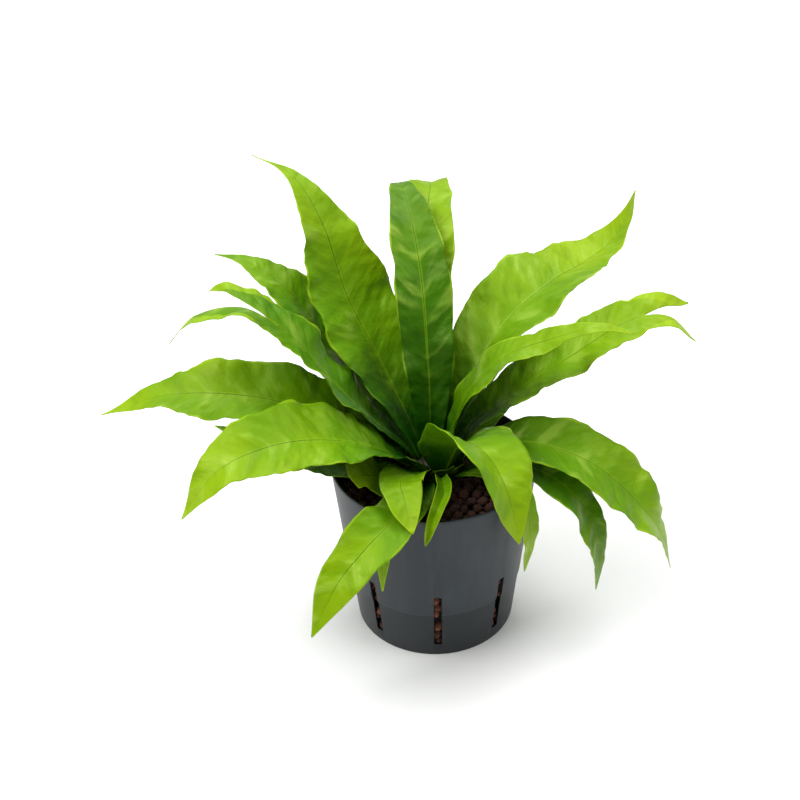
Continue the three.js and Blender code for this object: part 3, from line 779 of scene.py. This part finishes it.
def midrib_path(frond):
    """Points close together on one smooth curve through the route, and their distance along it."""
    heading = math.radians(frond["heading"])
    outward = np.array((math.cos(heading), math.sin(heading), 0))
    left = np.array((-math.sin(heading), math.cos(heading), 0))
    knots = [reach * outward + drift * left + (0, 0, height)
             for reach, height, drift in frond["route"]]
    knots = [2 * knots[0] - knots[1], *knots, 2 * knots[-1] - knots[-2]]
    steps = np.linspace(0, 1, PATH_STEPS, endpoint=False)[:, None]
    path = []
    for before, start, end, after in zip(knots, knots[1:], knots[2:], knots[3:]):
        spans = ((before, start), (start, end), (end, after))
        gaps = [math.sqrt(np.linalg.norm(b - a)) for a, b in spans]
        leave = ((start - before) / gaps[0] - (end - before) / (gaps[0] + gaps[1])
                 + (end - start) / gaps[1]) * gaps[1]
        arrive = ((end - start) / gaps[1] - (after - start) / (gaps[1] + gaps[2])
                  + (after - end) / gaps[2]) * gaps[1]
        cubic = 2 * (start - end) + leave + arrive
        square = 3 * (end - start) - 2 * leave - arrive
        path.append(start + leave * steps + square * steps ** 2 + cubic * steps ** 3)
    path = np.concatenate([*path, knots[-2][None]])
    distance = np.concatenate([[0], np.cumsum(np.linalg.norm(np.diff(path, axis=0), axis=1))])
    return path, distance, left


def half_width(frond, s):
    full = frond["width"] / 2
    rise = np.clip(1 - s / frond["widest"], 0, 1)
    fall = np.clip((s - frond["widest"]) / (1 - frond["widest"]), 0, 1)
    spring = STALK_HALF_WIDTH + (full - STALK_HALF_WIDTH) * (1 - rise ** 2) ** frond["spring"]
    taper = TIP_HALF_WIDTH + (full - TIP_HALF_WIDTH) * (1 - fall ** 2) ** frond["taper"]
    half = np.where(s < frond["widest"], spring, taper)
    if "scallop" in frond:
        depth, count = frond["scallop"]
        half = half * (1 + depth * s * np.cos(2 * math.pi * count * s))
    return half


def clasped(frond, s, half, length):
    """The foot of a frond that clasps the crown is as broad as its clasp before it narrows."""
    foot = np.clip((CLASP_REACH + CLASP_FADE - s * length) / CLASP_FADE, 0, 1)
    return np.maximum(half, frond.get("clasp", 0) / 2 * foot * foot * (3 - 2 * foot))


def sideways_of(frond, s, t, length, chance):
    """How far along the midrib and sideways from it a point of the flat blade comes to lie."""
    half = clasped(frond, s, half_width(frond, s), length)
    fade = np.clip(s * 6, 0, 1) * np.clip((1 - s) * 5, 0, 1)
    side = np.where(t > 0, chance.uniform(0, FULL_TURN), chance.uniform(0, FULL_TURN))
    turn = s * length * math.tau / WANDER_PERIOD
    wander = np.sin(turn + side) + 0.4 * np.sin(turn * WANDER_SECOND + 2 * side)
    t = t * (1 + MARGIN_WANDER * wander * fade)
    if "fork" not in frond:
        return s, t * half
    fork = frond["fork"]
    lobe_end = np.where(t > 0, fork["ends"][0], fork["ends"][1])
    spread = np.where(t > 0, fork["spread"][0], fork["spread"][1])
    share = np.clip((s - fork["at"]) / (1 - fork["at"]), 0, 1)
    fork_half = float(half_width(frond, np.array(fork["at"])))
    lobe_half = np.maximum(TIP_HALF_WIDTH, fork_half / 2 * (1 - share ** 2) ** LOBE_TAPER)
    centre = fork_half / 2 + spread * share ** LOBE_CURVE
    lobe = np.sign(t) * (centre + lobe_half * (2 * abs(t) - 1))
    forked = s > fork["at"]
    reached = fork["at"] + (lobe_end - fork["at"]) * share
    return np.where(forked, reached, s), np.where(forked, lobe, t * half)


def blade_points(frond, s, sideways, chance):
    """The upper surface, in millimetres, at s along the midrib and a distance sideways."""
    path, distance, left = midrib_path(frond)
    at = s * distance[-1]
    middle = np.stack([np.interp(at, distance, path[:, axis]) for axis in range(3)], 1)
    slope = np.gradient(path, distance, axis=0)
    tangent = np.stack([np.interp(at, distance, slope[:, axis]) for axis in range(3)], 1)
    tangent /= np.linalg.norm(tangent, axis=1)[:, None]
    side = left - tangent * (tangent @ left)[:, None]
    side /= np.linalg.norm(side, axis=1)[:, None]
    up = np.cross(tangent, side)
    tilt = np.radians(along(frond["tilt"], s))[:, None]
    tilted_side = side * np.cos(tilt) + up * np.sin(tilt)
    tilted_up = up * np.cos(tilt) - side * np.sin(tilt)
    fold = np.radians(along(frond["fold"], s))
    span = abs(sideways)
    outerness = np.clip(2 * span / frond["width"], 0, WAVE_LIMIT)
    wave_height, wave_count, phase = frond["ruffle"]
    turn = math.tau * wave_count * s + math.radians(phase)
    turn += np.where(sideways > 0, WAVE_SHIFT, 0)
    lift = span * np.sin(fold) + wave_height * outerness ** WAVE_POWER * np.sin(turn)
    lift += blade_relief(frond, s, sideways, at, outerness, chance)
    return middle + tilted_side * (sideways * np.cos(fold))[:, None] + tilted_up * lift[:, None]


def blade_relief(frond, s, sideways, at, outerness, chance):
    """Soft swells and smaller puckers between the side veins, a frilled margin, the groove."""
    span = abs(sideways)
    size = min(1, frond["width"] / 40)
    hand = np.where(sideways > 0, SIDE_SHIFT, 0)
    slant = at - VEIN_SLANT * span
    fade = np.clip(s * 6, 0, 1) * np.clip((1 - s) * 5, 0, 1)
    body = np.clip(outerness * 1.5, 0, 1) * fade * size
    swell = sum(
        weight * np.sin(
            slant * math.tau / period + chance.uniform(0, FULL_TURN)
            + hand * lean + span * lean * SWELL_CURVE
        )
        for weight, period, lean in SWELLS
    )
    puckers = sum(
        np.sin(slant * math.tau / period + chance.uniform(0, FULL_TURN) + hand * lean)
        * np.sin(
            span * math.tau / PUCKER_WIDTH + at * lean * PUCKER_CURVE
            + chance.uniform(0, FULL_TURN)
        )
        for period, lean in PUCKERS
    )
    frill = sum(
        weight * np.sin(at * math.tau / period + chance.uniform(0, FULL_TURN) + hand * 2)
        for weight, period in FRILLS
    )
    groove = GROOVE_DEPTH * np.exp(-(sideways / GROOVE_HALF_WIDTH) ** 2) * (1 - s)
    return (SWELL_HEIGHT * swell * body + PUCKER_HEIGHT * puckers * body
            + FRILL_HEIGHT * frill * outerness ** 3 * fade * size - groove)


def make_blade(frond, number):
    """A flat grid of quads is bent to the frond, then thickened downward."""
    length = midrib_path(frond)[1][-1]
    rows = max(16, round(length / BLADE_ROW))
    clear_selection()
    bpy.ops.mesh.primitive_grid_add(x_subdivisions=BLADE_COLUMNS, y_subdivisions=rows, size=1)
    blade = bpy.context.object
    blade.name = "blade_" + frond["name"]
    if "fork" in frond:
        bpy.ops.object.mode_set(mode="EDIT")
        bpy.ops.mesh.select_mode(type="EDGE")
        bpy.ops.mesh.select_all(action="DESELECT")
        flat = bmesh.from_edit_mesh(blade.data)
        for edge in flat.edges:
            ends = [vertex.co for vertex in edge.verts]
            on_midrib = all(abs(end.x) < 1e-4 for end in ends)
            edge.select = on_midrib and min(end.y for end in ends) + 0.5 > frond["fork"]["at"]
        bmesh.update_edit_mesh(blade.data)
        bpy.ops.mesh.edge_split(type="EDGE")
        bpy.ops.object.mode_set(mode="OBJECT")
    mesh = blade.data
    flat_places = np.array([vertex.co for vertex in mesh.vertices])
    beside = np.zeros(len(flat_places))
    for face in mesh.polygons:
        beside[list(face.vertices)] += face.center.x
    s = np.clip(flat_places[:, 1] + 0.5, 0, 1)
    t = 2 * flat_places[:, 0]
    t = np.where(abs(t) < 1e-4, np.sign(np.round(beside, 6)) * 1e-6, t)
    chance = random.Random(FROND_SEED + number)
    placed, sideways = sideways_of(frond, s, t, length, chance)
    points = blade_points(frond, placed, sideways, chance) * MM
    mesh.vertices.foreach_set("co", points.astype(np.float32).ravel())
    half = clasped(frond, placed, half_width(frond, placed), length)
    edge_distance = np.minimum(half - abs(sideways), (1 - placed) * length)
    if "fork" in frond:
        lobe_edge = np.where(placed > frond["fork"]["at"], (0.5 - abs(abs(t) - 0.5)) * half, 99)
        edge_distance = np.minimum(edge_distance, lobe_edge)
    for name, values in (
        ("across", sideways), ("along", placed * length), ("share", placed), ("edge", edge_distance),
    ):
        layer = mesh.attributes.new(name, "FLOAT", "POINT")
        layer.data.foreach_set("value", values.astype(np.float32))
    keel = KEEL_DEPTH * np.exp(-(sideways / (KEEL_HALF_WIDTH + 1.2 * (1 - placed))) ** 2)
    keel *= (1 - placed) ** RIDGE_FADE
    web = MARGIN_THICKNESS + (BLADE_THICKNESS - MARGIN_THICKNESS) * np.clip(edge_distance / 4, 0, 1)
    depth = web + keel
    deepest = BLADE_THICKNESS + KEEL_DEPTH
    group = blade.vertex_groups.new(name="depth")
    for index, value in enumerate(depth / deepest):
        group.add([index], float(value), "REPLACE")
    mesh.update()
    apply_modifier(
        blade, "SOLIDIFY", thickness=deepest * MM, offset=-1, vertex_group="depth",
        material_offset=1, material_offset_rim=0,
    )
    blade.vertex_groups.clear()
    blade.data.shade_smooth()
    return blade


VEIN_PITCH = 1.9
# Deep, middle and bright greens for each tone slot. The slots differ partly in the fronds' own green
# and partly as painted light and shade, as a frond stands lit or in shade.
LEAF_TONES = {
    "leaf_shade": ((0.003, 0.038, 0.0004, 1), (0.028, 0.110, 0.0006, 1), (0.068, 0.170, 0.001, 1)),
    "leaf_dark": ((0.004, 0.045, 0.0004, 1), (0.045, 0.150, 0.0006, 1), (0.120, 0.250, 0.001, 1)),
    "leaf_mid": ((0.005, 0.052, 0.0004, 1), (0.090, 0.220, 0.001, 1), (0.200, 0.325, 0.001, 1)),
    "leaf_light": ((0.006, 0.056, 0.0004, 1), (0.105, 0.230, 0.001, 1), (0.210, 0.330, 0.002, 1)),
}
RIB_GREEN = (0.240, 0.400, 0.010, 1)
RIB_SHADE = (0.020, 0.070, 0.0006, 1)
MARGIN_GREEN = (0.280, 0.430, 0.010, 1)
KEEL_BROWN = (0.040, 0.024, 0.006, 1)
UNDER_GREEN = (0.085, 0.190, 0.002, 1)
UNDER_DEEP = (0.020, 0.075, 0.0008, 1)
# Pale green of the painted sheen patches on the upper side of the blades.
PAINTED_SHEEN_GREEN = (0.300, 0.440, 0.055, 1)
LEAF_SHEEN = (0.95, 1, 0.32, 1)


def leaf_values(leaf):
    """The blade's own measures: across, along, share of the length, and distance to the edge."""
    return [
        leaf.node("ShaderNodeAttribute", {"attribute_name": name}, {}, "Fac")
        for name in ("across", "along", "share", "edge")
    ]


def vein_lines(leaf, across, along_rib):
    """Fine slanting side veins: 1 on a vein and 0 between."""
    wander = leaf.noise(leaf.place(), 45, 2) * 2.5
    phase = (along_rib - abs(across) * 0.42 + wander) * (math.tau / VEIN_PITCH)
    wave = leaf.node("ShaderNodeMath", {"operation": "SINE"}, {0: phase})
    return leaf.ease(wave, 0.1, 1)


def upper_skin(name, deep, middle, bright, margin_share=0.45):
    leaf = Finish("upper_" + name, IOR=1.42, Specular_IOR_Level=0.3, Specular_Tint=LEAF_SHEEN)
    across, along_rib, share, edge = leaf_values(leaf)
    veins = vein_lines(leaf, across, along_rib)
    cloud = leaf.noise(leaf.place(), 22, 3)
    mottle = leaf.noise(leaf.place(), 130, 3)
    slanting = leaf.node("ShaderNodeCombineXYZ", {}, {
        0: across * 0.035,
        1: (along_rib - abs(across) * 0.7) * 0.075,
        2: leaf.part(leaf.place(), "X") * 30,
    })
    bands = leaf.noise(slanting, 1, 2)
    # Darker towards the foot of the blade: painted shade near the crown; lighter towards the tip.
    skin = leaf.blend(leaf.ease(share + (cloud - 0.5) * 0.4, 0.08, 0.46), deep, middle)
    skin = leaf.blend(leaf.ease(share + (cloud - 0.5) * 1.1, 0.35, 1.15), skin, bright)
    skin = leaf.blend(leaf.ease(mottle, 0.5, 0.8) * 0.2, skin, bright)
    # The dark slanting bands are painted shade in the troughs of the swells, and the pale patches
    # painted sheen on their crests.
    skin = leaf.blend(leaf.ease(bands, 0.5, 0.25) * 0.2, skin, deep)
    painted_sheen = leaf.ease(bands, 0.52, 0.72) * leaf.ease(share, 0.1, 0.35)
    skin = leaf.blend(painted_sheen * 0.35, skin, PAINTED_SHEEN_GREEN)
    skin = leaf.blend(veins * 0.05, skin, deep)
    stripe = leaf.ease(abs(across), 1.7, 0.6) * leaf.ease(share, 1, 0.25) * 0.4
    skin = leaf.blend(stripe, skin, RIB_GREEN)
    # The thin dark line in the midrib's groove is painted shade.
    crease = leaf.ease(abs(across), 0.6, 0.15) * leaf.ease(share, 0.98, 0.6) * 0.85
    skin = leaf.blend(crease, skin, RIB_SHADE)
    margin = leaf.ease(edge, 0.8, 0.1) * leaf.ease(share, 0.12, 0.4) * margin_share
    skin = leaf.blend(margin, skin, MARGIN_GREEN)
    pores = leaf.noise(leaf.place(), 2600, 2)
    puckers = leaf.noise(leaf.place(), 75, 3)
    relief = puckers * 6 + bands * 11 - veins * 0.06 + pores * 0.1
    return leaf.wear(
        Base_Color=skin,
        Roughness=0.36 + 0.14 * mottle - 0.1 * painted_sheen,
        Normal=leaf.bump(relief, 0.3 * MM, 0.7),
    )


def lower_skin(name):
    leaf = Finish("under_" + name, IOR=1.4, Specular_IOR_Level=0.2, Specular_Tint=LEAF_SHEEN)
    across, along_rib, share, edge = leaf_values(leaf)
    veins = vein_lines(leaf, across, along_rib)
    cloud = leaf.noise(leaf.place(), 24, 3)
    skin = leaf.blend(leaf.ease(cloud, 0.35, 0.7), UNDER_GREEN, UNDER_DEEP)
    skin = leaf.blend(veins * 0.25, skin, UNDER_DEEP)
    skin = leaf.blend(leaf.ease(abs(across), 3.2, 1.6) * 0.55, skin, RIB_GREEN)
    brown = leaf.ease(abs(across), 2.2, 1.2) * leaf.ease(share, 0.45, 0.05)
    skin = leaf.blend(brown, skin, KEEL_BROWN)
    skin = leaf.blend(leaf.ease(edge, 0.8, 0.1) * 0.5, skin, MARGIN_GREEN)
    return leaf.wear(
        Base_Color=skin,
        Roughness=0.5 + 0.15 * cloud,
        Normal=leaf.bump(veins, 0.2 * MM, 0.6),
    )


LEAF_SLOTS = ("leaf_dark", "leaf_mid", "leaf_light")
upper_finishes = {name: upper_skin(name, *tones) for name, tones in LEAF_TONES.items()}
lower_finish = lower_skin("leaf")
for frond_number, frond_values in enumerate(FRONDS):
    blade = make_blade(frond_values, frond_number)
    tone = LEAF_SLOTS[frond_values["tone"]]
    blade.data.materials.append(upper_finishes[frond_values.get("skin", tone)])
    blade.data.materials.append(lower_finish)
    hand_over(blade, tone, "frond_" + frond_values["name"])


# The young leaf bases.
# Short broad leaves of the same fern stand round the crown between the feet of the fronds.
# They are glossy and painted dark green as shade, and each one springs from low on the crown and
# leans outward.
# Each place is a heading in degrees and how far the tip rises above the foot.
SHEATH_WIDTH = 20
SHEATH_FOOT = 106
SHEATHS = ((229, 26), (265, 19), (289, 20), (324, 18), (0, 20), (38, 18), (81, 20), (110, 18),
           (140, 20), (168, 18), (203, 20))
SHEATH_SHADE_TONES = ((0.008, 0.035, 0.0004, 1), (0.016, 0.065, 0.0006, 1), (0.050, 0.130, 0.001, 1))


def sheath(number, heading, rise):
    """A short broad young leaf standing against the crown, between the feet of the fronds."""
    return dict(
        name="sheath_%d" % number, heading=heading,
        route=((14.5, SHEATH_FOOT, 0), (17.5, SHEATH_FOOT + rise * 0.4, 0),
               (19.5, SHEATH_FOOT + rise * 0.75, 0), (23, SHEATH_FOOT + rise, 0)),
        width=SHEATH_WIDTH, widest=0.5, spring=0.3, taper=0.8,
        tilt=(0, 0, 0), fold=(26, 22, 14), ruffle=(0.5, 2, 60 * number),
    )


# The sheaths wear the darkest tones: painted shade deep at the crown.
sheath_finish = upper_skin("leaf_sheath", *SHEATH_SHADE_TONES, margin_share=0)
sheaths = [make_blade(sheath(number, *place), number) for number, place in enumerate(SHEATHS)]
clear_selection()
for one in sheaths:
    one.select_set(True)
bpy.context.view_layer.objects.active = sheaths[0]
bpy.ops.object.join()
sheaths[0].name = "crown_sheaths"
sheaths[0].data.materials.append(sheath_finish)
sheaths[0].data.materials.append(lower_finish)
hand_over(sheaths[0], "leaf_dark")


# The studio.
# The pot stands on a plain pale table top in a white room. A broad soft light stands to the
# front left, a weaker one to the right, and the camera looks down on the plant from in front.
FLOOR_SIZE = 24
FLOOR_WHITE = (0.86, 0.86, 0.86, 1)
ROOM_WHITE = (1, 1, 1, 1)
ROOM_LIGHT = 0.46
CAMERA_PLACE = (-0.020, -0.794, 0.708)
CAMERA_PITCH = 55.6
CAMERA_ROLL = -1.6
CAMERA_LENS = 70.83
SOFT_LIGHTS = (
    ("window_left", (-0.9, -0.3, 1.7), 1.0, 34),
    ("window_right", (1.2, -0.2, 1.6), 1.1, 17),
    ("window_back", (0.1, 0.9, 1.8), 1.2, 24),
)

clear_selection()
bpy.ops.mesh.primitive_plane_add(size=FLOOR_SIZE)
floor = bpy.context.object
floor.name = "table_top"
paper = Finish("table_paper", Roughness=0.9)
fleck = paper.noise(paper.place(), 60, 3)
floor.data.materials.append(paper.wear(
    Base_Color=paper.blend(fleck * 0.04, FLOOR_WHITE, (0.8, 0.8, 0.8, 1))
))

scene = bpy.context.scene
room = bpy.data.worlds.new("white_room")
room.use_nodes = True
room.node_tree.nodes["Background"].inputs["Color"].default_value = ROOM_WHITE
room.node_tree.nodes["Background"].inputs["Strength"].default_value = ROOM_LIGHT
scene.world = room
scene.view_settings.view_transform = "Standard"

target = Vector((0, 0, 0.15))
for name, place, size, power in SOFT_LIGHTS:
    bpy.ops.object.light_add(type="AREA", location=place)
    light = bpy.context.object
    light.name = name
    light.data.shape = "SQUARE"
    light.data.size = size
    light.data.energy = power
    light.rotation_euler = (target - Vector(place)).to_track_quat("-Z", "Y").to_euler()

bpy.ops.object.camera_add(location=CAMERA_PLACE)
camera = bpy.context.object
camera.data.lens = CAMERA_LENS
camera.data.sensor_width = 36
pitch = Euler((math.radians(CAMERA_PITCH), 0, 0)).to_matrix()
roll = Euler((0, 0, math.radians(CAMERA_ROLL))).to_matrix()
camera.rotation_euler = (pitch @ roll).to_euler()
scene.camera = camera
